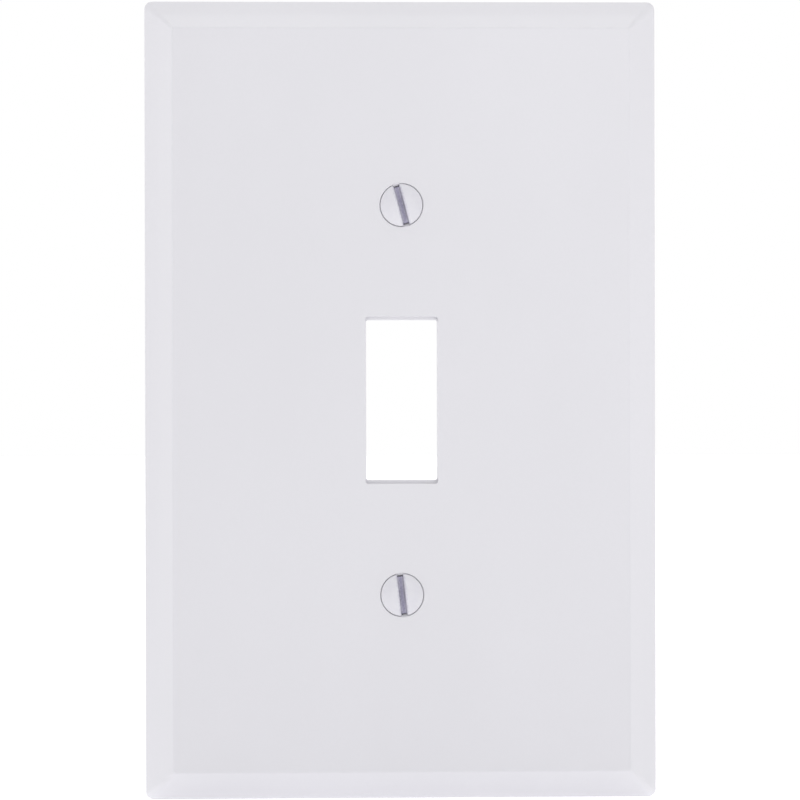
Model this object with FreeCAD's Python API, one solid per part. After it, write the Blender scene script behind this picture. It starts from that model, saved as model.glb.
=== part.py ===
import FreeCAD, Part
import math
import os

# One-gang wall plate for a toggle switch, midway size, with its two captive screws.
# Millimetres. +X is right and +Z is up for someone facing the plate, and +Y goes into the wall.
# The rear rim lies on the wall at Y = 0, and the origin is midway between the two screws.

# The moulded plate's outside
PLATE_WIDTH = 79.4
PLATE_HEIGHT = 123.8
PLATE_DEPTH = 6.4
BEVEL_WIDTH = 4.3
SIDE_HEIGHT = 2.7
CORNER_RADIUS = 1.2
FRONT_EDGE_RADIUS = 0.5

# Its hollow back
WALL = 2.0
SIDE_WALL = 1.9
HOLLOW_CORNER_RADIUS = 1.0

# The opening for the toggle, and the collar behind it
OPENING_WIDTH = 11.0
OPENING_HEIGHT = 24.7
OPENING_CORNER_RADIUS = 0.3
END_STEP = 0.6
END_STEP_DEPTH = 0.8
COLLAR_WALL = 1.3
COLLAR_HEIGHT = 1.6

# The screw holes: a boss behind each, a clearance hole and an 82 degree countersink
SCREW_SPACING = 60.325
COUNTERSINK_ANGLE = 82
COUNTERSINK_DIAMETER = 6.8
HOLE_DIAMETER = 4.0
BOSS_DIAMETER = 9.0
BOSS_HEIGHT = 1.6

# Round marks that the ejector pins leave in the hollow's floor
EJECTOR_DIAMETER = 5.0
EJECTOR_DEPTH = 0.15
EJECTOR_COLUMN = 27.0
EJECTOR_ROWS = (-47.0, 0.0, 47.0)

# The 6-32 oval-head screws: slotted, half an inch long from the head's rim to the tip
HEAD_DIAMETER = 6.5
HEAD_RIM = 0.12
HEAD_DOME = 0.95
SLOT_WIDTH = 1.2
SLOT_DEPTH = 1.25
THREAD_DIAMETER = 3.5052
SCREW_LENGTH = 12.7
TIP_CHAMFER = 0.45
WAIST_DIAMETER = 2.75
UPPER_SLOT_TILT = -14.8
LOWER_SLOT_TILT = -6.4

# The washers that hold the screws in the plate
WASHER_DIAMETER = 7.0
WASHER_THICKNESS = 0.7
WASHER_CLEARANCE = 0.05
CAPTIVE_TRAVEL = 1.5

FRONT = -PLATE_DEPTH
FLOOR = FRONT + WALL
BOSS_REAR = FLOOR + BOSS_HEIGHT
WASHER_FRONT = BOSS_REAR + CAPTIVE_TRAVEL
THREAD_START = WASHER_FRONT + WASHER_THICKNESS + WASHER_CLEARANCE
SCREW_TIP = FRONT + SCREW_LENGTH
CONE_SLOPE = math.tan(math.radians(COUNTERSINK_ANGLE / 2))
PAST = 1.0
INTO_WALL = FreeCAD.Vector(0, 1, 0)


def rectangle(width, height, y, radius=0.0):
    """A wire round a rectangle in the plane at y, centred on the Y axis, with rounded corners."""
    x, z = width / 2, height / 2
    corners = [FreeCAD.Vector(*p) for p in ((-x, y, -z), (x, y, -z), (x, y, z), (-x, y, z))]
    sides = Part.makePolygon(corners + corners[:1])
    if not radius:
        return sides
    inner_x, inner_z = x - radius, z - radius
    bend = radius * math.sqrt(0.5)
    edges = []
    for start_angle in (0, 90, 180, 270):
        turn = FreeCAD.Rotation(INTO_WALL, -start_angle)
        across, up = (inner_x, inner_z) if start_angle % 180 == 0 else (inner_z, inner_x)
        centre = FreeCAD.Vector(across, 0, up)
        start = centre + FreeCAD.Vector(radius, 0, 0)
        middle = centre + FreeCAD.Vector(bend, 0, bend)
        end = centre + FreeCAD.Vector(0, 0, radius)
        following = FreeCAD.Vector(-across, 0, up + radius)
        place = FreeCAD.Placement(FreeCAD.Vector(0, y, 0), turn)
        points = [place.multVec(p) for p in (start, middle, end, following)]
        edges.append(Part.Arc(*points[:3]).toShape())
        edges.append(Part.LineSegment(points[2], points[3]).toShape())
    return Part.Wire(edges)


def slab(width, height, near, far, radius=0.0):
    """A flat block between the planes at near and far."""
    face = Part.Face(rectangle(width, height, near, radius))
    return face.extrude(FreeCAD.Vector(0, far - near, 0))


def frustum(width, height, near, far, inset):
    """A block that narrows by inset on all four sides from the plane at near to the one at far."""
    x, z = width / 2, height / 2
    return Part.makeWedge(inset - x, far, inset - z, -z, -x, x - inset, near, z - inset, z, x)


def rod(radius, near, far, x=0.0, z=0.0):
    """A round bar along Y."""
    return Part.makeCylinder(radius, far - near, FreeCAD.Vector(x, near, z), INTO_WALL)


def bevelled_block(width, height, shoulder, near, far, inset, corner_radius):
    """A straight-sided block from near to the shoulder, narrowing by inset from there to far."""
    straight = slab(width, height, shoulder, near)
    block = straight.fuse(frustum(width, height, shoulder, far, inset)).removeSplitter()
    return block, slab(width, height, far - PAST, near, corner_radius)


def outside():
    """The plate before it is hollowed: a straight side, a bevel all round and a flat front."""
    block, outline = bevelled_block(PLATE_WIDTH, PLATE_HEIGHT, -SIDE_HEIGHT, 0, FRONT,
                                    BEVEL_WIDTH, CORNER_RADIUS)
    front = [edge for edge in block.Edges if edge.BoundBox.YMax < FRONT + FRONT_EDGE_RADIUS / 10]
    return block.makeFillet(FRONT_EDGE_RADIUS, front).common(outline)


def hollow():
    """The space behind the plate, whose walls stay parallel to the outside."""
    drop = PLATE_DEPTH - SIDE_HEIGHT
    slope = math.hypot(BEVEL_WIDTH, drop)
    start_x, start_y = WALL * drop / slope, SIDE_HEIGHT - WALL * BEVEL_WIDTH / slope
    shoulder = -(start_y + (SIDE_WALL - start_x) * drop / BEVEL_WIDTH)
    floor_inset = start_x + (-FLOOR - start_y) * BEVEL_WIDTH / drop
    block, outline = bevelled_block(PLATE_WIDTH - 2 * SIDE_WALL, PLATE_HEIGHT - 2 * SIDE_WALL,
                                    shoulder, PAST, FLOOR, floor_inset - SIDE_WALL, HOLLOW_CORNER_RADIUS)
    return block.common(outline)


def toggle_opening():
    """The space that the toggle works in, with a shallow step at its upper and lower ends."""
    through = slab(OPENING_WIDTH, OPENING_HEIGHT, FRONT - PAST, PAST, OPENING_CORNER_RADIUS)
    stepped = slab(OPENING_WIDTH, OPENING_HEIGHT + 2 * END_STEP, FRONT - PAST, FRONT + END_STEP_DEPTH,
                   OPENING_CORNER_RADIUS)
    return through.fuse(stepped).removeSplitter()


def screw_hole(z):
    """A clearance hole with its countersink."""
    mouth, waist = COUNTERSINK_DIAMETER / 2, HOLE_DIAMETER / 2
    cone = Part.makeCone(mouth, waist, (mouth - waist) / CONE_SLOPE, FreeCAD.Vector(0, FRONT, z), INTO_WALL)
    entry = rod(mouth, FRONT - PAST, FRONT, z=z)
    return rod(waist, FRONT, PAST, z=z).multiFuse([cone, entry]).removeSplitter()


def faceplate():
    """The whole moulding."""
    bosses = [rod(BOSS_DIAMETER / 2, FLOOR - WALL / 2, BOSS_REAR, z=z) for z in screw_heights()]
    collar = slab(OPENING_WIDTH + 2 * COLLAR_WALL, OPENING_HEIGHT + 2 * COLLAR_WALL,
                  FLOOR - WALL / 2, FLOOR + COLLAR_HEIGHT, OPENING_CORNER_RADIUS + COLLAR_WALL)
    marks = [rod(EJECTOR_DIAMETER / 2, FLOOR - EJECTOR_DEPTH, FLOOR, x, z)
             for x in (-EJECTOR_COLUMN, EJECTOR_COLUMN) for z in EJECTOR_ROWS]
    shell = outside().cut(hollow()).multiFuse(bosses + [collar])
    holes = [screw_hole(z) for z in screw_heights()]
    return shell.cut([toggle_opening()] + holes + marks).removeSplitter()


def screw_heights():
    return -SCREW_SPACING / 2, SCREW_SPACING / 2


def screw(z, slot_tilt):
    """An oval-head screw: dome, rim, cone, plain waist and thread, with a slot across the head."""
    head, waist, thread = HEAD_DIAMETER / 2, WAIST_DIAMETER / 2, THREAD_DIAMETER / 2
    cone_start = FRONT + HEAD_RIM
    cone_end = cone_start + (head - waist) / CONE_SLOPE
    dome_radius = (head ** 2 + HEAD_DOME ** 2) / (2 * HEAD_DOME)
    halfway = math.asin(head / dome_radius) / 2
    dome_middle = (dome_radius * math.sin(halfway),
                   FRONT - HEAD_DOME + dome_radius * (1 - math.cos(halfway)))
    outline = [(0, FRONT - HEAD_DOME), (head, FRONT), (head, cone_start), (waist, cone_end),
               (waist, THREAD_START), (thread, THREAD_START + (thread - waist) / 2),
               (thread, SCREW_TIP - TIP_CHAMFER), (thread - TIP_CHAMFER, SCREW_TIP), (0, SCREW_TIP)]
    points = [FreeCAD.Vector(radius, y, 0) for radius, y in outline]
    edges = [Part.Arc(points[0], FreeCAD.Vector(*dome_middle, 0), points[1]).toShape()]
    following = points[2:] + points[:1]
    edges += [Part.LineSegment(a, b).toShape() for a, b in zip(points[1:], following)]
    solid = Part.Face(Part.Wire(edges)).revolve(FreeCAD.Vector(), INTO_WALL, 360)
    slot = Part.makeBox(SLOT_WIDTH, PAST + SLOT_DEPTH, HEAD_DIAMETER + 2 * PAST,
                        FreeCAD.Vector(-SLOT_WIDTH / 2, FRONT - HEAD_DOME - PAST, -head - PAST))
    slotted = solid.cut(slot)
    slotted.rotate(FreeCAD.Vector(), INTO_WALL, slot_tilt)
    slotted.translate(FreeCAD.Vector(0, 0, z))
    return slotted


def retaining_washer(z):
    """A washer round the screw's waist: smaller inside than the thread, larger outside than the hole."""
    bore = WAIST_DIAMETER / 2 + WASHER_CLEARANCE
    rear = WASHER_FRONT + WASHER_THICKNESS
    return rod(WASHER_DIAMETER / 2, WASHER_FRONT, rear, z=z).cut(rod(bore, WASHER_FRONT, rear, z=z))


def main():
    low, high = screw_heights()
    pieces = {
        "faceplate": faceplate(),
        "upper_screw": screw(high, UPPER_SLOT_TILT),
        "lower_screw": screw(low, LOWER_SLOT_TILT),
        "upper_retaining_washer": retaining_washer(high),
        "lower_retaining_washer": retaining_washer(low),
    }
    os.makedirs("parts", exist_ok=True)
    for name, shape in pieces.items():
        assert shape.isValid() and len(shape.Solids) == 1, name
        box = shape.BoundBox
        print(f"{name}: {shape.Volume:.1f} mm3, {box.XLength:.2f} x {box.YLength:.2f} x {box.ZLength:.2f}")
        shape.Solids[0].exportStep(f"parts/{name}.step")


main()
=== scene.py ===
import math

import bmesh
import bpy
from mathutils import Matrix, Vector, geometry, kdtree


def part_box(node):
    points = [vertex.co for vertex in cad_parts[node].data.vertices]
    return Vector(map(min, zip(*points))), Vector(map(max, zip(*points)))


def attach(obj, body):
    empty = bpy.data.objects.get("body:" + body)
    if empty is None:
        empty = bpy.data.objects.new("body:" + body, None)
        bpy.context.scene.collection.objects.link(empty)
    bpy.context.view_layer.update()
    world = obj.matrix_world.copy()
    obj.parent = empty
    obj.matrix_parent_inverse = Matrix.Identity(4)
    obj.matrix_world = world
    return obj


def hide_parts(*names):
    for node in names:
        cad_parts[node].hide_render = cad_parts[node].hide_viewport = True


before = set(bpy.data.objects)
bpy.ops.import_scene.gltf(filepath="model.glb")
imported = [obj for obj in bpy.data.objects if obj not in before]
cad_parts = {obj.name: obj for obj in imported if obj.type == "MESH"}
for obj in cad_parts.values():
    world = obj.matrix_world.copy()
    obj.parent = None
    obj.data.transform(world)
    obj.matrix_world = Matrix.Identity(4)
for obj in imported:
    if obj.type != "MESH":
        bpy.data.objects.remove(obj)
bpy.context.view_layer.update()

# Everything is in metres, in the frame of the CAD model: the plate faces -Y and its rear rim is at Y = 0.
MM = 0.001

# Driving dimensions read from the frame
plate_low, plate_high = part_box("faceplate")
head_low, head_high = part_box("upper_screw")
washer_low, washer_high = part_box("upper_retaining_washer")
HALF_WIDTH = plate_high.x
HALF_HEIGHT = plate_high.z
FRONT = plate_low.y
SCREW_HEIGHT = (head_low.z + head_high.z) / 2
HEAD_TOP = head_low.y
HEAD_RADIUS = (head_high.x - head_low.x) / 2
SCREW_TIP = head_high.y
WASHER_FRONT = washer_low.y
WASHER_REAR = washer_high.y
WASHER_RADIUS = (washer_high.x - washer_low.x) / 2

# The plate's other dimensions
WALL = 2.0 * MM
FLOOR = FRONT + WALL
BEVEL_WIDTH = 4.3 * MM
SIDE_HEIGHT = 2.7 * MM
SIDE_WALL = 1.9 * MM
FACE_CORNER_RADIUS = 0.35 * MM
OUTLINE_CORNER_RADIUS = 1.2 * MM
HOLLOW_CORNER_RADIUS = 1.0 * MM
OPENING_HALF_WIDTH = 5.5 * MM
OPENING_HALF_HEIGHT = 12.35 * MM
OPENING_CORNER_RADIUS = 0.3 * MM
OPENING_DRAFT = 0.12 * MM
END_STEP = 0.6 * MM
END_STEP_DEPTH = 0.8 * MM
COLLAR_WALL = 1.3 * MM
BOSS_REAR = FLOOR + 1.6 * MM
BOSS_RADIUS = 4.5 * MM
HOLE_RADIUS = 2.0 * MM
MOUTH_RADIUS = 3.44 * MM
CONE_SLOPE = math.tan(math.radians(41))
EJECTOR_RADIUS = 2.5 * MM
EJECTOR_DEPTH = 0.15 * MM
EJECTOR_COLUMN = 27 * MM
EJECTOR_ROWS = (-47 * MM, 0.0, 47 * MM)
FACE_EDGE_ROUNDING = 0.55 * MM
SIDE_EDGE_ROUNDING = 0.4 * MM
RIM_OUTER_ROUNDING = 0.25 * MM
RIM_INNER_ROUNDING = 0.2 * MM
HOLLOW_FLOOR_ROUNDING = 0.8 * MM
FOOT_ROUNDING = 0.35 * MM
REAR_EDGE_ROUNDING = 0.15 * MM
FLAT_MARGIN = 1.2 * MM

# The screws' other dimensions. Two of them are values of the paint attribute: bare zinc, and a negative value
# that marks painted shade.
HEAD_RIM = 0.03 * MM
HEAD_EDGE = 0.07 * MM
SLOT_HALF_WIDTH = 0.43 * MM
SLOT_EDGE_ROUNDING = 0.31 * MM
SLOT_FLOOR = HEAD_TOP + 1.25 * MM
WAIST_RADIUS = 1.375 * MM
THREAD_RADIUS = 1.7526 * MM
THREAD_ROOT_RADIUS = 1.27 * MM
THREAD_PITCH = 25.4 / 32 * MM
THREAD_START = WASHER_REAR + 0.05 * MM
TIP_CHAMFER = 0.45 * MM
BARE_ZINC = 0.0
# A negative paint value that marks painted shade on the screws, near-black in the material.
PAINTED_SHADE = -0.5
PAINTED_SHADE_REACH = 0.15 * MM
UPPER_SLOT_TILT = math.radians(-14.8)
LOWER_SLOT_TILT = math.radians(-6.4)


# ---------------------------------------------------------------- mesh building

INSIDE_THE_EDGES = 1


class Skin:
    """A closed surface made of rings of points. A point may carry the direction that it faces."""

    def __init__(self):
        self.points = []
        self.facings = []
        self.paint = []
        self.faces = []

    def ring(self, places, paint=1.0):
        """Adds (point, facing) places and returns their indices."""
        first = len(self.points)
        for point, facing in places:
            self.points.append(Vector(point))
            self.facings.append(facing)
        self.paint += paint if isinstance(paint, list) else [paint] * len(places)
        return list(range(first, len(self.points)))

    def join(self, one, other):
        """Adds the quads between two rings that have as many points as each other."""
        for i in range(len(one)):
            self.faces.append((one[i - 1], one[i], other[i], other[i - 1]))

    def sweep(self, rings):
        """Joins rings one after another and returns the first and the last."""
        made = [self.ring(places) for places in rings]
        for one, other in zip(made, made[1:]):
            self.join(one, other)
        return made[0], made[-1]

    def fill(self, rim, holes, spacing, facing):
        """Triangles on the flat area inside the rim and outside the holes, with a staggered grid in it."""
        loops = [rim, *holes]
        owner = {i: k for k, loop in enumerate(loops) for i in loop}
        index = [i for loop in loops for i in loop]
        flat = [Vector((self.points[i].x, self.points[i].z)) / MM for i in index]
        tree = kdtree.KDTree(len(flat))
        for k, place in enumerate(flat):
            tree.insert((place.x, place.y, 0), k)
        tree.balance()
        depth = self.points[rim[0]].y
        index += self.ring([((x * MM, depth, z * MM), facing)
                            for x, z in grid_inside(flat, loops, tree, spacing / MM)])
        flat += [Vector((self.points[i].x, self.points[i].z)) / MM for i in index[len(flat):]]
        edges, start = [], 0
        for loop in loops:
            edges += [(start + k, start + (k + 1) % len(loop)) for k in range(len(loop))]
            start += len(loop)
        found = geometry.delaunay_2d_cdt(flat, edges, [], INSIDE_THE_EDGES, 1e-6)
        corner = [index[origins[0]] for origins in found[3]]
        for face in found[2]:
            triangle = tuple(corner[i] for i in face)
            # A triangle with all its corners on one hole's edge would cover the hole
            owners = {owner.get(i, 0) for i in triangle}
            if owners == {0} or len(owners) > 1:
                self.faces.append(triangle)

    def cap(self, ring, point, facing=None, paint=1.0):
        """Closes a ring with a fan of triangles round one point."""
        tip, = self.ring([(point, facing)], paint)
        for i in range(len(ring)):
            self.faces.append((ring[i - 1], ring[i], tip))

    def piece(self, name, merge=0.0):
        """The finished object: one closed mesh with its faces outwards."""
        build = bmesh.new()
        layer = build.verts.layers.float.new("paint")
        made = []
        for point, paint in zip(self.points, self.paint):
            vertex = build.verts.new(point)
            vertex[layer] = paint
            made.append(vertex)
        for face in self.faces:
            build.faces.new([made[i] for i in face])
        if merge:
            bmesh.ops.remove_doubles(build, verts=build.verts, dist=merge)
        bmesh.ops.recalc_face_normals(build, faces=build.faces)
        mesh = bpy.data.meshes.new(name)
        build.to_mesh(mesh)
        build.free()
        mesh.polygons.foreach_set("use_smooth", [True] * len(mesh.polygons))
        if all(facing is not None for facing in self.facings):
            mesh.normals_split_custom_set_from_vertices([Vector(f).normalized() for f in self.facings])
        else:
            mesh.set_sharp_from_angle(angle=math.radians(38))
        made_object = bpy.data.objects.new(name, mesh)
        bpy.context.scene.collection.objects.link(made_object)
        return made_object


def grid_inside(flat, loops, tree, spacing):
    """Staggered grid points inside the first loop and outside the others, clear of them all."""
    rim = flat[:len(loops[0])]
    boxes, start = [], len(rim)
    for loop in loops[1:]:
        part = flat[start:start + len(loop)]
        boxes.append((min(p.x for p in part), max(p.x for p in part),
                      min(p.y for p in part), max(p.y for p in part)))
        start += len(loop)
    right, top = max(p.x for p in rim), max(p.y for p in rim)
    columns, rows = int(right / spacing), int(top / (spacing * math.sqrt(0.75)))
    places = []
    for row in range(-rows, rows + 1):
        z = row * spacing * math.sqrt(0.75)
        for column in range(-columns, columns + 1):
            x = (column + 0.5 * (row % 2)) * spacing
            clear = tree.find((x, z, 0))[2] > 0.6 * spacing and abs(x) < right and abs(z) < top
            if clear and not any(a < x < b and c < z < d for a, b, c, d in boxes):
                places.append((x, z))
    return places


def rounded_profile(corners, steps=5):
    """A path in the (out, depth) plane with its inner corners rounded. Each corner is (out, depth, radius).

    The material lies to the right of the path. Each point comes with the direction that it faces.
    """
    places = []
    for k, (out, depth, radius) in enumerate(corners):
        corner = Vector((out, depth))
        before = corner - Vector(corners[k - 1][:2]) if k else None
        after = Vector(corners[k + 1][:2]) - corner if k + 1 < len(corners) else None
        if before is None or after is None:
            along = (after if before is None else before).normalized()
            places.append((corner, Vector((along.y, -along.x))))
            continue
        heading = math.atan2(before.y, before.x)
        turn = (math.atan2(after.y, after.x) - heading + math.pi) % (2 * math.pi) - math.pi
        side = 1 if turn > 0 else -1
        start = corner - before.normalized() * radius * math.tan(abs(turn) / 2)
        centre = start + side * radius * Vector((-math.sin(heading), math.cos(heading)))
        for step in range(steps + 1):
            angle = heading + turn * step / steps
            facing = Vector((math.sin(angle), -math.cos(angle)))
            places.append((centre + side * radius * facing, facing))
    return places


def blended(one, other, share):
    """The point between two points of profiles, with its facing."""
    return tuple(a.lerp(b, share) for a, b in zip(one, other))


def rounded_rectangle(half_width, half_height, radius, arc_steps=6, spacing=2.5 * MM):
    """Points round a rectangle with rounded corners, each with its outward direction in the XZ plane.

    The number of points doesn't depend on the radius or on small changes of size.
    """
    places = []
    for quarter, (right, up) in enumerate(((1, 1), (-1, 1), (-1, -1), (1, -1))):
        centre = Vector((right * (half_width - radius), up * (half_height - radius)))
        for step in range(arc_steps + 1):
            angle = (quarter + step / arc_steps) * math.pi / 2
            outward = Vector((math.cos(angle), math.sin(angle)))
            places.append((centre + radius * outward, outward))
    filled = []
    side_counts = (max(1, round(2 * HALF_WIDTH / spacing)), max(1, round(2 * HALF_HEIGHT / spacing)))
    for k, (place, outward) in enumerate(places):
        filled.append((place, outward))
        following = places[(k + 1) % len(places)][0]
        if k % (arc_steps + 1) == arc_steps:
            count = side_counts[(k // (arc_steps + 1)) % 2]
            filled += [(place.lerp(following, i / count), outward) for i in range(1, count)]
    return filled


def placed(place, outward, out, depth, facing):
    """(point, facing) in space for a profile point at an outline's place."""
    flat = place + outward * out
    direction = outward * facing.x
    return Vector((flat.x, depth, flat.y)), Vector((direction.x, facing.y, direction.y))


def circle_rings(centre_z, profile, count=64, centre_x=0.0):
    """One ring for each profile point, round an axis along Y, with the profile's out as the radius."""
    centre = Vector((centre_x, centre_z))
    angles = [2 * math.pi * k / count for k in range(count)]
    around = [Vector((math.cos(a), math.sin(a))) for a in angles]
    return [[placed(centre, outward, place.x, place.y, facing) for outward in around]
            for place, facing in profile]


# ---------------------------------------------------------------- the plate

def rim_sweep(skin):
    """From the front face over the bevel, the side and the rear rim, and into the hollow's floor."""
    drop = -FRONT - SIDE_HEIGHT
    slope = math.hypot(BEVEL_WIDTH, drop)
    start_out, start_depth = WALL * drop / slope, SIDE_HEIGHT - WALL * BEVEL_WIDTH / slope
    shoulder = -(start_depth + (SIDE_WALL - start_out) * drop / BEVEL_WIDTH)
    floor_out = start_out + (-FLOOR - start_depth) * BEVEL_WIDTH / drop
    corners = [(-BEVEL_WIDTH - FLAT_MARGIN, FRONT, 0), (-BEVEL_WIDTH, FRONT, FACE_EDGE_ROUNDING),
               (0, -SIDE_HEIGHT, SIDE_EDGE_ROUNDING), (0, 0, RIM_OUTER_ROUNDING),
               (-SIDE_WALL, 0, RIM_INNER_ROUNDING), (-SIDE_WALL, shoulder, SIDE_EDGE_ROUNDING),
               (-floor_out, FLOOR, HOLLOW_FLOOR_ROUNDING), (-floor_out - FLAT_MARGIN, FLOOR, 0)]
    steps = 6
    outer_points = 1 + 3 * (steps + 1)
    rings = []
    for k, (place, facing) in enumerate(rounded_profile(corners, steps)):
        outside = k < outer_points
        share = min(1.0, -place.x / BEVEL_WIDTH)
        outer = OUTLINE_CORNER_RADIUS + share * (FACE_CORNER_RADIUS - OUTLINE_CORNER_RADIUS)
        inner = HOLLOW_CORNER_RADIUS + share * (FACE_CORNER_RADIUS - HOLLOW_CORNER_RADIUS)
        outline = rounded_rectangle(HALF_WIDTH + place.x, HALF_HEIGHT + place.x, outer if outside else inner)
        rings.append([placed(spot, outward, 0, place.y, facing) for spot, outward in outline])
    return skin.sweep(rings)


def opening_sweep(skin):
    """From the hollow's floor over the collar and through the opening to the front face."""
    def profile(step, rounding):
        return rounded_profile([(COLLAR_WALL + FLAT_MARGIN, FLOOR, 0), (COLLAR_WALL, FLOOR, FOOT_ROUNDING),
                                (COLLAR_WALL, BOSS_REAR, RIM_INNER_ROUNDING),
                                (OPENING_DRAFT, BOSS_REAR, REAR_EDGE_ROUNDING),
                                (0, FRONT + END_STEP_DEPTH, step / 4),
                                (step, FRONT + END_STEP_DEPTH, step / 8), (step, FRONT, rounding),
                                (END_STEP + FLAT_MARGIN, FRONT, 0)])
    side, end = profile(0.02 * MM, 0.06 * MM), profile(END_STEP, 0.08 * MM)
    outline = rounded_rectangle(OPENING_HALF_WIDTH, OPENING_HALF_HEIGHT, OPENING_CORNER_RADIUS)
    rings = []
    for at_side, at_end in zip(side, end):
        ring = []
        for spot, outward in outline:
            place, facing = blended(at_side, at_end, outward.y ** 2)
            ring.append(placed(spot, outward, place.x, place.y, facing))
        rings.append(ring)
    return skin.sweep(rings)


def screw_hole_sweep(skin, height):
    """From the hollow's floor over the boss and through the screw hole to the front face."""
    cone_end = FRONT + (MOUTH_RADIUS - HOLE_RADIUS) / CONE_SLOPE
    corners = [(BOSS_RADIUS + FLAT_MARGIN, FLOOR, 0), (BOSS_RADIUS, FLOOR, FOOT_ROUNDING),
               (BOSS_RADIUS, BOSS_REAR, RIM_OUTER_ROUNDING), (HOLE_RADIUS, BOSS_REAR, REAR_EDGE_ROUNDING),
               (HOLE_RADIUS, cone_end, RIM_INNER_ROUNDING), (MOUTH_RADIUS, FRONT, 0.06 * MM),
               (MOUTH_RADIUS + FLAT_MARGIN, FRONT, 0)]
    return skin.sweep(circle_rings(height, rounded_profile(corners)))


def ejector_mark(skin, x, z):
    """A shallow round mark in the hollow's floor."""
    corners = [(EJECTOR_RADIUS + 0.6 * MM, FLOOR, 0), (EJECTOR_RADIUS, FLOOR, 0.06 * MM),
               (EJECTOR_RADIUS, FLOOR - EJECTOR_DEPTH, 0.06 * MM),
               (EJECTOR_RADIUS / 2, FLOOR - EJECTOR_DEPTH, 0)]
    outer, inner = skin.sweep(circle_rings(z, rounded_profile(corners, 2), 40, x))
    skin.cap(inner, (x, FLOOR - EJECTOR_DEPTH, z), Vector((0, 1, 0)))
    return outer


def sink(skin):
    """The faint hollows that the thick spots round the screws leave in the face as the moulding cools."""
    depth, reach = 0.02 * MM, 8 * MM
    for k, point in enumerate(skin.points):
        if point.y > FRONT + 0.5 * MM:
            continue
        slope_x = slope_z = sunk = 0.0
        for height in (-SCREW_HEIGHT, SCREW_HEIGHT):
            x, z = point.x / reach, (point.z - height) / reach
            bump = depth * math.exp(-(x * x + z * z))
            sunk += bump
            slope_x -= 2 * x / reach * bump
            slope_z -= 2 * z / reach * bump
        point.y += sunk
        weight = max(0.0, -skin.facings[k].y)
        skin.facings[k] = skin.facings[k] + weight * Vector((slope_x, 0, slope_z))


def make_faceplate():
    skin = Skin()
    face_rim, floor_rim = rim_sweep(skin)
    opening = opening_sweep(skin)
    holes = [screw_hole_sweep(skin, height) for height in (-SCREW_HEIGHT, SCREW_HEIGHT)]
    marks = [ejector_mark(skin, x, z) for x in (-EJECTOR_COLUMN, EJECTOR_COLUMN) for z in EJECTOR_ROWS]
    ends = [opening, *holes]
    skin.fill(face_rim, [front for _, front in ends], 2.2 * MM, Vector((0, -1, 0)))
    skin.fill(floor_rim, [back for back, _ in ends] + marks, 2.6 * MM, Vector((0, 1, 0)))
    sink(skin)
    return skin.piece("faceplate_moulding")


# ---------------------------------------------------------------- the screws and washers

def cone_radius(depth):
    """The head's radius at a depth on its rim or its cone."""
    below = max(0.0, depth - (FRONT + HEAD_RIM))
    return max(WAIST_RADIUS, HEAD_RADIUS - below * CONE_SLOPE)


def dome(distance):
    """The depth of the head's dome at a distance from its axis."""
    rise = FRONT - HEAD_TOP
    radius = (HEAD_RADIUS ** 2 + rise ** 2) / (2 * rise)
    return HEAD_TOP + radius - math.sqrt(radius ** 2 - distance ** 2)


def slot_lines():
    """Lines along the slot as (across, share, shift, paint), from one side of the head to the other.

    A line's depth is the dome's, moved towards the slot's floor by share, and then shifted.
    """
    edge, foot = SLOT_EDGE_ROUNDING, 0.16 * MM
    half = []
    steps = 14
    widest = HEAD_RADIUS - HEAD_EDGE
    first = math.asin((SLOT_HALF_WIDTH + edge) / widest)
    for k in range(steps):
        angle = math.pi / 2 + (first - math.pi / 2) * k / steps
        half.append((widest * math.sin(angle), 0.0, 0.0, 1.0))
    # Across the slot's edge, wall and floor the paint thins: partly thinner paint, partly painted shade that
    # darkens the slot.
    for k in range(5):
        angle = math.pi / 2 * k / 4
        half.append((SLOT_HALF_WIDTH + edge * (1 - math.sin(angle)), 0.0, edge * (1 - math.cos(angle)),
                     0.75 - 0.2 * math.sqrt(k / 4)))
    half.append((SLOT_HALF_WIDTH - 0.01 * MM, 0.5, (edge - foot) / 2, 0.65))
    for k in range(4):
        angle = math.pi / 2 * k / 3
        half.append((SLOT_HALF_WIDTH - 0.02 * MM - foot * (1 - math.cos(angle)), 1.0,
                     -foot * (1 - math.sin(angle)), 0.6 - 0.2 * k / 3))
    half.append((SLOT_HALF_WIDTH / 3, 1.0, 0.0, 0.2))
    return [(-across, *rest) for across, *rest in half] + [(0.0, 1.0, 0.0, 0.05)] + half[::-1]


def head_grid(skin):
    """The dome with its slot, as lines of points. Returns its outer edge in order round the axis."""
    along = 22
    lines = []
    for across, share, shift, paint in slot_lines():
        end_depth = (1 - share) * FRONT + share * SLOT_FLOOR + shift
        reach = math.sqrt(max(0.0, (cone_radius(end_depth) - HEAD_EDGE) ** 2 - across ** 2))
        line, paints = [], []
        for k in range(along + 1):
            up = reach * math.sin(math.pi * (k / along - 0.5))
            depth = (1 - share) * dome(math.hypot(across, up)) + share * SLOT_FLOOR + shift
            line.append(((across, depth, up), None))
            # Painted shade: the slot floor's ends, next to the rim, are darkened towards near-black.
            slot_end_shade = share * max(0.0, 1 - (reach - abs(up)) / PAINTED_SHADE_REACH)
            paints.append(paint + (PAINTED_SHADE - paint) * slot_end_shade)
        lines.append(skin.ring(line, paints))
    for one, other in zip(lines, lines[1:]):
        for k in range(along):
            skin.faces.append((one[k], one[k + 1], other[k + 1], other[k]))
    right_side = [line[-1] for line in reversed(lines)]
    left_side = [line[0] for line in lines]
    return lines[-1] + right_side[1:] + lines[0][::-1][1:] + left_side[1:-1]


def evened(angles):
    """Rising angles over one turn with their spacing made more even. The first stays where it is."""
    turn = 2 * math.pi
    for _ in range(60):
        around = [angles[-1] - turn, *angles, angles[0] + turn]
        angles = [(around[i - 1] + 2 * around[i] + around[i + 1]) / 4 for i in range(1, len(around) - 1)]
    return [angle - angles[0] for angle in angles]


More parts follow.
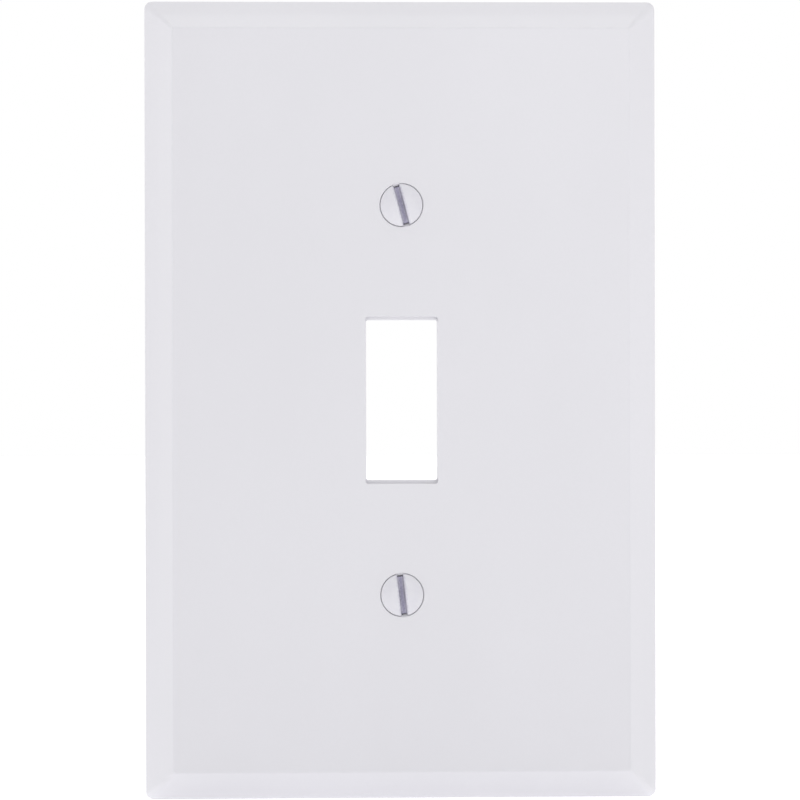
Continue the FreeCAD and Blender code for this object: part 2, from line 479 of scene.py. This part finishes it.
def screw_sides(skin, edge):
    """From the head's edge round its rim and down its cone and waist. Returns its end and angles."""
    spots = [skin.points[i].copy() for i in edge]
    paints = [skin.paint[i] for i in edge]
    at_edge = [math.atan2(spot.z, spot.x) % (2 * math.pi) for spot in spots]
    at_edge[0] = 0.0
    angles = evened(at_edge)

    def ring(radii, depths, paint, share=1.0):
        return skin.ring([((r * math.cos(a), y, r * math.sin(a)), None)
                          for a, r, y in zip([a + (b - a) * share for a, b in zip(at_edge, angles)],
                                             radii, depths)], paint)

    starts = [spot.y for spot in spots]
    rings = [edge]
    for bend in (30, 60, 90):
        out, back = math.sin(math.radians(bend)), 1 - math.cos(math.radians(bend))
        depths = [y + HEAD_EDGE * back for y in starts]
        radii = [min(cone_radius(y) - HEAD_EDGE * (1 - out), cone_radius(d)) for y, d in zip(starts, depths)]
        rings.append(ring(radii, depths, list(paints), 0.0))
    level = SLOT_FLOOR + 0.25 * MM
    # How far down the cone, how much of the edge's paint is left there, and how much painted shade there is:
    # the cone is darkened under the head's rim, so the gap round the head looks darker.
    for share, cover, painted_shade_share in ((0.05, 0.5, 0.5), (0.12, 0.0, 1.0), (0.5, 0.0, 0.4), (1.0, 0.0, 0.2)):
        depths = [y + HEAD_EDGE + (level - y - HEAD_EDGE) * share for y in starts]
        rings.append(ring([cone_radius(d) for d in depths], depths,
                          [p * cover + PAINTED_SHADE * painted_shade_share for p in paints], share))
    cone_end = FRONT + HEAD_RIM + (HEAD_RADIUS - WAIST_RADIUS) / CONE_SLOPE
    narrow = 0.12 * MM
    shank = [((cone_radius(level) + WAIST_RADIUS) / 2, (level + cone_end) / 2),
             (WAIST_RADIUS + narrow, cone_end - narrow / CONE_SLOPE),
             (WAIST_RADIUS + narrow / 4, cone_end + narrow / 4),
             (WAIST_RADIUS, cone_end + narrow), (WAIST_RADIUS, THREAD_START - narrow)]
    for radius, depth in shank:
        rings.append(ring([radius] * len(angles), [depth] * len(angles), BARE_ZINC))
    for one, other in zip(rings, rings[1:]):
        skin.join(one, other)
    return rings[-1], angles


def screw_thread(skin, waist, angles):
    """A right-hand 60 degree thread whose rows of points follow the helix, from the waist to the tip.

    The shape is (share of the pitch, share of the thread's height).
    """
    shape = [(0.0, 0.98), (0.0625, 1.0), (0.125, 0.98), (0.28, 0.5), (0.4375, 0.03), (0.5625, 0.0),
             (0.6875, 0.03), (0.845, 0.5)]
    run_in = 0.45 * MM
    tip_radius = THREAD_RADIUS - TIP_CHAMFER
    height = THREAD_RADIUS - THREAD_ROOT_RADIUS
    turns = math.ceil((SCREW_TIP - THREAD_START) / THREAD_PITCH) + 1
    rows = []
    for turn in range(turns + 1):
        for phase, share in shape:
            row = []
            for angle in angles:
                depth = THREAD_START + (turn + phase - angle / (2 * math.pi)) * THREAD_PITCH
                depth = min(max(depth, THREAD_START), SCREW_TIP)
                started = min(1.0, (depth - THREAD_START) / run_in)
                radius = WAIST_RADIUS + (THREAD_ROOT_RADIUS + height * share - WAIST_RADIUS) * started
                radius = min(radius, tip_radius + SCREW_TIP - depth)
                if depth == SCREW_TIP:
                    radius = min(THREAD_ROOT_RADIUS, tip_radius)
                row.append(((radius * math.cos(angle), depth, radius * math.sin(angle)), None))
            rows.append(skin.ring(row, BARE_ZINC))
    skin.join(waist, rows[0])
    lead = len(shape)
    for k in range(len(rows) - 1):
        one, other = rows[k], rows[k + 1]
        for i in range(1, len(angles)):
            skin.faces.append((one[i - 1], one[i], other[i], other[i - 1]))
        if k < lead:
            skin.faces.append((one[-1], rows[0][0], other[-1]))
        else:
            skin.faces.append((one[-1], rows[k - lead][0], rows[k + 1 - lead][0], other[-1]))
    centre = 0.5 * THREAD_ROOT_RADIUS
    inner = skin.ring([((centre * math.cos(a), SCREW_TIP - 0.06 * MM, centre * math.sin(a)), None)
                       for a in angles], BARE_ZINC)
    skin.join(rows[-1], inner)
    skin.cap(inner, (0, SCREW_TIP - 0.08 * MM, 0), paint=BARE_ZINC)


def make_screw(name, height, tilt):
    skin = Skin()
    waist, angles = screw_sides(skin, head_grid(skin))
    screw_thread(skin, waist, angles)
    screw = skin.piece(name, merge=0.0005 * MM)
    screw.data.transform(Matrix.Translation((0, 0, height)) @ Matrix.Rotation(tilt, 4, "Y"))
    return screw


def make_washer(name, height):
    """A stamped ring, rounded where the punch entered and crisp where it came out."""
    inner, play = WAIST_RADIUS + 0.05 * MM, 0.02 * MM
    front, rear = WASHER_FRONT + play, WASHER_REAR - play
    middle = (inner + WASHER_RADIUS) / 2
    corners = [(middle, front, 0), (WASHER_RADIUS, front, 0.14 * MM), (WASHER_RADIUS, rear, 0.04 * MM),
               (inner, rear, 0.04 * MM), (inner, front, 0.14 * MM), (middle, front, 0)]
    skin = Skin()
    first, last = skin.sweep(circle_rings(height, rounded_profile(corners, 4)[:-1], 72))
    skin.join(last, first)
    return skin.piece(name)


# ---------------------------------------------------------------- materials

class Recipe:
    """A node material with one Principled shader, built by short calls."""

    def __init__(self, name):
        self.material = bpy.data.materials.new(name)
        self.material.use_nodes = True
        self.nodes = self.material.node_tree.nodes
        self.links = self.material.node_tree.links
        self.shader = self.nodes["Principled BSDF"]
        self.place = self.nodes.new("ShaderNodeTexCoord").outputs["Object"]

    def set(self, **values):
        for name, value in values.items():
            self.shader.inputs[name.replace("_", " ")].default_value = value

    def stretched(self, scale):
        """Object coordinates scaled by different amounts along X, Y and Z."""
        node = self.nodes.new("ShaderNodeMapping")
        node.inputs["Scale"].default_value = scale
        self.links.new(self.place, node.inputs["Vector"])
        return node.outputs["Vector"]

    def noise(self, size, detail=2.0, roughness=0.5, place=None):
        """Noise whose blotches are about this size in metres."""
        node = self.nodes.new("ShaderNodeTexNoise")
        node.inputs["Scale"].default_value = 1 / size
        node.inputs["Detail"].default_value = detail
        node.inputs["Roughness"].default_value = roughness
        self.links.new(place or self.place, node.inputs["Vector"])
        return node.outputs["Fac"]

    def attribute(self, name):
        node = self.nodes.new("ShaderNodeAttribute")
        node.attribute_name = name
        return node.outputs["Fac"]

    def depth(self):
        """How far back a point is, in metres."""
        node = self.nodes.new("ShaderNodeSeparateXYZ")
        self.links.new(self.place, node.inputs[0])
        return node.outputs["Y"]

    def math(self, operation, one, other):
        node = self.nodes.new("ShaderNodeMath")
        node.operation = operation
        for socket, value in zip(node.inputs, (one, other)):
            self.feed(value, socket)
        return node.outputs[0]

    def length(self, vector):
        node = self.nodes.new("ShaderNodeVectorMath")
        node.operation = "LENGTH"
        self.links.new(vector, node.inputs[0])
        return node.outputs["Value"]

    def spread(self, value, low, high, to_low=0.0, to_high=1.0):
        """The value moved from one range to another, and kept within it."""
        node = self.nodes.new("ShaderNodeMapRange")
        for name, number in (("From Min", low), ("From Max", high), ("To Min", to_low), ("To Max", to_high)):
            node.inputs[name].default_value = number
        self.links.new(value, node.inputs["Value"])
        return node.outputs["Result"]

    def mix(self, share, one, other):
        """A colour between two colours."""
        node = self.nodes.new("ShaderNodeMix")
        node.data_type = "RGBA"
        for socket, value in ((node.inputs["Factor"], share), (node.inputs[6], one), (node.inputs[7], other)):
            self.feed(value, socket)
        return node.outputs[2]

    def feed(self, value, socket):
        if isinstance(value, bpy.types.NodeSocket):
            self.links.new(value, socket)
        else:
            socket.default_value = value

    def to(self, name, value):
        self.links.new(value, self.shader.inputs[name])

    def bumps(self, *layers):
        """Stacks (height, distance in metres, strength) layers of relief."""
        normal = None
        for height, distance, strength in layers:
            node = self.nodes.new("ShaderNodeBump")
            node.inputs["Distance"].default_value = distance
            node.inputs["Strength"].default_value = strength
            self.links.new(height, node.inputs["Height"])
            if normal:
                self.links.new(normal, node.inputs["Normal"])
            normal = node.outputs["Normal"]
        self.to("Normal", normal)


def moulded_white():
    """Smooth cool-white moulding: polished in front with a faint orange peel, duller in the hollow."""
    made = Recipe("moulded_white")
    made.set(IOR=1.52)
    behind = made.spread(made.depth(), FLOOR - 0.3 * MM, FLOOR - 0.05 * MM)
    flow = made.noise(26 * MM, 3, 0.55, made.stretched((1.0, 1.0, 0.6)))
    grain = made.noise(0.5 * MM, 2)
    cloud = made.mix(made.spread(flow, 0.35, 0.65), (0.704, 0.697, 0.731, 1), (0.716, 0.709, 0.744, 1))
    made.to("Base Color", made.mix(made.spread(grain, 0.3, 0.7, 0, 0.35), cloud, (0.696, 0.689, 0.724, 1)))
    polish = made.spread(made.noise(7 * MM, 3), 0.3, 0.7, 0.29, 0.35)
    dull = made.spread(grain, 0.3, 0.7, 0.46, 0.58)
    made.to("Roughness", made.math("ADD", made.math("MULTIPLY", made.math("SUBTRACT", dull, polish), behind),
                                   polish))
    made.bumps((made.noise(1.4 * MM, 1), 0.004 * MM, 0.35), (made.noise(0.22 * MM, 2), 0.0015 * MM, 0.3))
    return made.material


def painted_screw():
    """Baked white paint on the head, thinner in the slot, and bright zinc on the shank. The slot's thin paint
    and dark lilac zinc are partly thin paint and partly painted shade that darkens the slot.

    The paint attribute is 1 where the paint is whole, 0 on bare zinc and negative where shade is painted in:
    near-black painted shade at the slot floor's ends and on the head's cone under its rim.
    """
    made = Recipe("painted_screw")
    made.set(IOR=1.5)
    fleck = made.noise(0.35 * MM, 4, 0.6)
    bare = made.math("ADD", made.attribute("paint"), made.spread(fleck, 0.3, 0.7, -0.12, 0.12))
    cover = made.spread(bare, 0.25, 0.8)
    paint = made.mix(made.spread(made.noise(1.1 * MM, 3), 0.3, 0.7), (0.678, 0.670, 0.718, 1),
                     (0.705, 0.699, 0.737, 1))
    zinc = made.mix(made.spread(made.noise(0.25 * MM, 3, 0.6), 0.3, 0.7), (0.28, 0.265, 0.37, 1),
                    (0.42, 0.405, 0.51, 1))
    # Painted shade: where the paint attribute is negative, the colour goes towards near-black.
    painted_shade_share = made.spread(made.attribute("paint"), 0.0, PAINTED_SHADE, 0.0, 0.9)
    made.to("Base Color", made.mix(cover, made.mix(painted_shade_share, zinc, (0.05, 0.05, 0.055, 1)), paint))
    made.to("Metallic", made.spread(cover, 0, 1, 0.75, 0.0))
    shine = made.spread(made.noise(0.5 * MM, 3), 0.3, 0.7, 0.29, 0.39)
    made.to("Roughness", made.math("ADD", shine, made.spread(cover, 0, 1, 0.12, 0.0)))
    made.bumps((made.noise(0.6 * MM, 2), 0.012 * MM, 0.4), (made.noise(0.1 * MM, 2), 0.003 * MM, 0.3))
    return made.material


def washer_fibre():
    """Dull red-brown vulcanised fibre with pressed layers and flecks."""
    made = Recipe("washer_fibre")
    made.set(IOR=1.45)
    layers = made.noise(0.22 * MM, 4, 0.65, made.stretched((0.4, 2.5, 0.4)))
    flecks = made.noise(0.12 * MM, 2)
    body = made.mix(made.spread(layers, 0.35, 0.65), (0.27, 0.085, 0.055, 1), (0.38, 0.14, 0.09, 1))
    made.to("Base Color", made.mix(made.spread(flecks, 0.6, 0.72), body, (0.5, 0.27, 0.19, 1)))
    made.to("Roughness", made.spread(layers, 0.3, 0.7, 0.62, 0.82))
    made.bumps((layers, 0.03 * MM, 0.5), (flecks, 0.01 * MM, 0.4))
    return made.material


def pale_floor():
    """A pale table top that glows a little from within, most of all just under the plate; the glow under the
    plate is painted light that fills in the plate's contact shadow.
    """
    made = Recipe("pale_floor")
    made.set(IOR=1.3, Emission_Color=(1.0, 1.0, 1.0, 1))
    away = made.length(made.stretched((1 / GLOW_WIDTH, 1 / GLOW_DEPTH, 0)))
    made.to("Emission Strength", made.spread(away, 0.2, 1.0, GLOW, TABLE_GLOW))
    made.to("Base Color", made.mix(made.noise(90 * MM, 3), (0.93, 0.93, 0.935, 1), (0.96, 0.96, 0.965, 1)))
    made.to("Roughness", made.spread(made.noise(30 * MM, 2), 0.3, 0.7, 0.7, 0.8))
    return made.material


# ---------------------------------------------------------------- the stage

# The floor's glow: the patch just under the plate, which is painted light filling in its contact shadow, that
# patch's size, and the even glow of the rest of the floor.
GLOW = 0.64
GLOW_WIDTH = 200 * MM
GLOW_DEPTH = 6 * MM
TABLE_GLOW = 0.31
CAMERA_DISTANCE = 0.7
SENSOR = 36 * MM
FRAME_HEIGHT = 124.41 * MM
CAMERA_AZIMUTH = math.radians(-2.5)
CAMERA_ELEVATION = math.radians(0.05)
CAMERA_ROLL = math.radians(0.12)


def make_camera():
    """Straight in front of the plate, which fills the picture's height."""
    data = bpy.data.cameras.new("camera")
    data.sensor_width = SENSOR / MM
    data.lens = SENSOR * CAMERA_DISTANCE / FRAME_HEIGHT / MM
    data.clip_start, data.clip_end = 0.01, 50
    camera = bpy.data.objects.new("camera", data)
    target = Vector((-0.12 * MM, -SIDE_HEIGHT, 0))
    back = Vector((math.sin(CAMERA_AZIMUTH) * math.cos(CAMERA_ELEVATION),
                   -math.cos(CAMERA_AZIMUTH) * math.cos(CAMERA_ELEVATION), math.sin(CAMERA_ELEVATION)))
    aim = (-back).to_track_quat("-Z", "Y").to_matrix().to_4x4()
    camera.matrix_world = (Matrix.Translation(target + back * CAMERA_DISTANCE)
                           @ aim @ Matrix.Rotation(-CAMERA_ROLL, 4, "Z"))
    bpy.context.scene.collection.objects.link(camera)
    bpy.context.scene.camera = camera


def make_floor(material):
    """A round pale floor under the plate's lower edge."""
    build = bmesh.new()
    bmesh.ops.create_circle(build, cap_ends=True, segments=96, radius=4.0)
    mesh = bpy.data.meshes.new("floor")
    build.to_mesh(mesh)
    build.free()
    mesh.materials.append(material)
    floor = bpy.data.objects.new("floor", mesh)
    floor.location = (0, 0, plate_low.z - 0.02 * MM)
    bpy.context.scene.collection.objects.link(floor)


def soft_light(name, place, size, power):
    """A square white softbox that faces the plate's middle."""
    data = bpy.data.lights.new(name, "AREA")
    data.shape = "SQUARE"
    data.size = size
    data.energy = power
    light = bpy.data.objects.new(name, data)
    light.location = place
    light.rotation_euler = (-Vector(place)).to_track_quat("-Z", "Y").to_euler()
    bpy.context.scene.collection.objects.link(light)


def make_world(strength, front_share):
    """A white studio all round, which dims towards the side that the plate faces."""
    world = bpy.data.worlds.new("studio")
    world.use_nodes = True
    nodes, links = world.node_tree.nodes, world.node_tree.links
    place = nodes.new("ShaderNodeTexCoord")
    split = nodes.new("ShaderNodeSeparateXYZ")
    ramp = nodes.new("ShaderNodeMapRange")
    ramp.interpolation_type = "SMOOTHSTEP"
    for name, number in (("From Min", -1.0), ("From Max", 0.0), ("To Min", strength * front_share),
                         ("To Max", strength)):
        ramp.inputs[name].default_value = number
    links.new(place.outputs["Generated"], split.inputs[0])
    links.new(split.outputs["Y"], ramp.inputs["Value"])
    links.new(ramp.outputs["Result"], nodes["Background"].inputs["Strength"])
    nodes["Background"].inputs["Color"].default_value = (1.0, 1.0, 1.0, 1)
    bpy.context.scene.world = world


# ---------------------------------------------------------------- the scene

def finish_piece(piece, material, body, node):
    piece.data.materials.append(material)
    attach(piece, body)
    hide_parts(node)


make_camera()
make_world(1.0, 0.5)
make_floor(pale_floor())
bpy.context.scene.view_settings.view_transform = "Standard"
soft_light("key", (0.05, -0.25, 0.12), 0.1, 0.042)
soft_light("key_right", (0.16, -0.3, 0.09), 0.14, 0.052)
soft_light("left_side", (-0.8, -0.15, 0.05), 0.5, 0.4)
soft_light("top", (0.0, -0.2, 0.8), 0.5, 0.9)

plate_finish, screw_finish, washer_finish = moulded_white(), painted_screw(), washer_fibre()
finish_piece(make_faceplate(), plate_finish, "plate", "faceplate")
for name, side, tilt in (("upper", 1, UPPER_SLOT_TILT), ("lower", -1, LOWER_SLOT_TILT)):
    screw = make_screw(f"{name}_slotted_screw", side * SCREW_HEIGHT, tilt)
    finish_piece(screw, screw_finish, f"{name}_screw", f"{name}_screw")
    washer = make_washer(f"{name}_washer_ring", side * SCREW_HEIGHT)
    finish_piece(washer, washer_finish, f"{name}_washer", f"{name}_retaining_washer")
